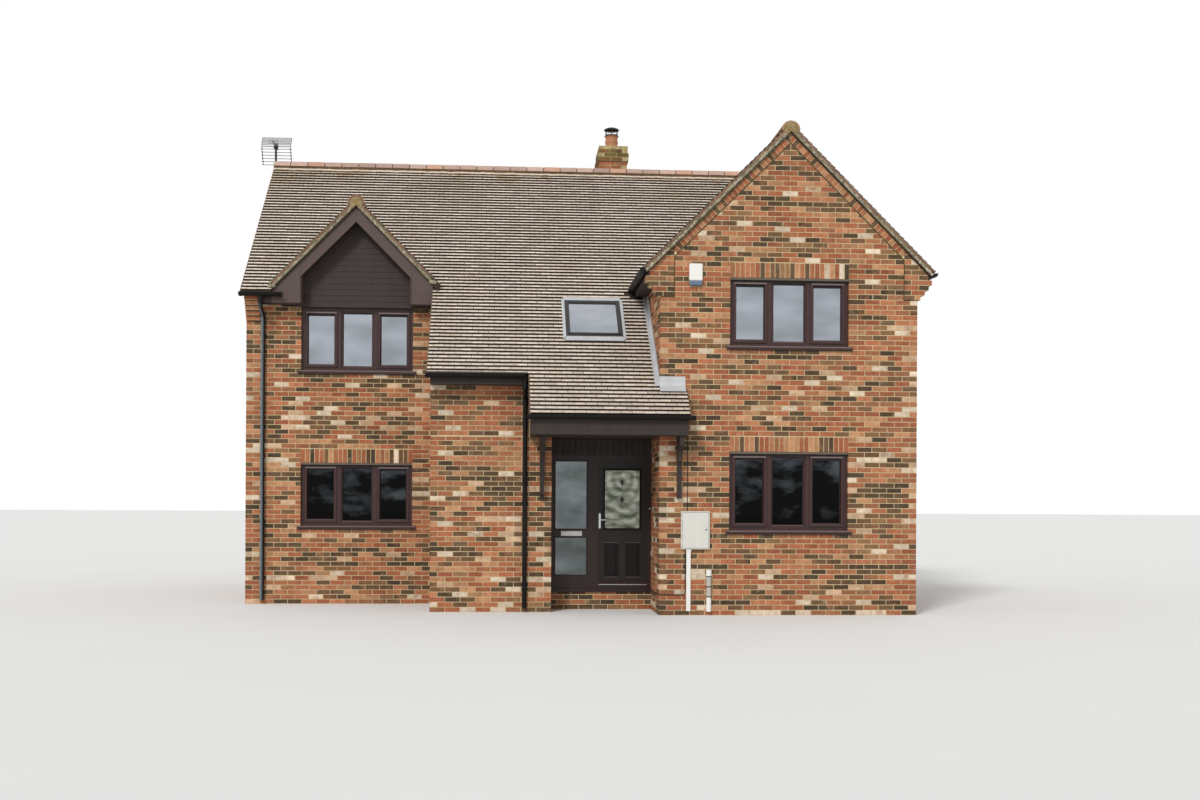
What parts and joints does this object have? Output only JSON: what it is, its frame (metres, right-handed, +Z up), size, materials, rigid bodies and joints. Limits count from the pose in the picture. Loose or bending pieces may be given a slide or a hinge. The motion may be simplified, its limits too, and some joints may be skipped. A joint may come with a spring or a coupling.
{
  "type": "detached house",
  "caption": "Two-storey brick house with a gabled front wing, a half-dormer and a front door under a catslide porch roof",
  "frame": {"origin": "Middle of the rectangle round the walls, at the lowest ground level that they reach", "axes": "+X to the right as seen from the front, +Y from the front to the rear, +Z up"},
  "size_m": [10.7523, 8.9696, 8.6908],
  "materials": {
    "brickwork": "matt",
    "concrete": "matt",
    "roof_tile": "matt",
    "joinery": "woodgrain foil, satin",
    "boarding": "satin",
    "glass": "clear",
    "door_leaf": "woodgrain, satin",
    "chrome": "polished",
    "terracotta": "matt",
    "black_plastic": "semi-gloss",
    "cream_plastic": "matt",
    "aluminium": "dull"
  },
  "bodies": {
    "house": {"ground_floor": "concrete", "first_floor": "concrete", "left_gable_wall": "brickwork", "right_gable_wall": "brickwork", "rear_wall": "brickwork", "left_bay_wall": "brickwork", "middle_side_wall": "brickwork", "middle_front_wall": "brickwork", "wing_front_wall": "brickwork", "wing_left_wall": "brickwork", "wing_right_wall": "brickwork", "door_head_wall": "boarding", "dormer_cladding": "boarding", "main_roof_front": "roof_tile", "main_roof_rear": "roof_tile", "catslide_roof": "roof_tile", "wing_roof_left": "roof_tile", "wing_roof_right": "roof_tile", "dormer_roof_left": "roof_tile", "dormer_roof_right": "roof_tile", "main_ridge": "roof_tile", "wing_ridge": "roof_tile", "dormer_ridge": "roof_tile", "bargeboards": "boarding", "porch_canopy": "boarding", "porch_brackets": "boarding", "left_lower_window": "joinery", "left_upper_window": "joinery", "wing_lower_window": "joinery", "wing_upper_window": "joinery", "rear_windows": "joinery", "roof_window": "joinery", "glazing_lower": "glass", "glazing_upper": "glass", "door_frame": "joinery", "chimney_stack": "brickwork", "chimney_pot": "terracotta", "gutters_and_pipes": "black_plastic", "meter_box": "cream_plastic", "alarm_box": "cream_plastic", "aerial": "aluminium", "eaves_boards": "boarding"},
    "door": {"front_door": "door_leaf", "door_glass": "glass", "door_handle": "chrome"}
  },
  "joints": [
    {"name": "front_door_hinge", "type": "hinge", "parent": "house", "child": "door", "pos_m": [1.2175, -2.822, 1.4], "axis": [0, 0, -1], "range_deg": [0, 80]}
  ]
}
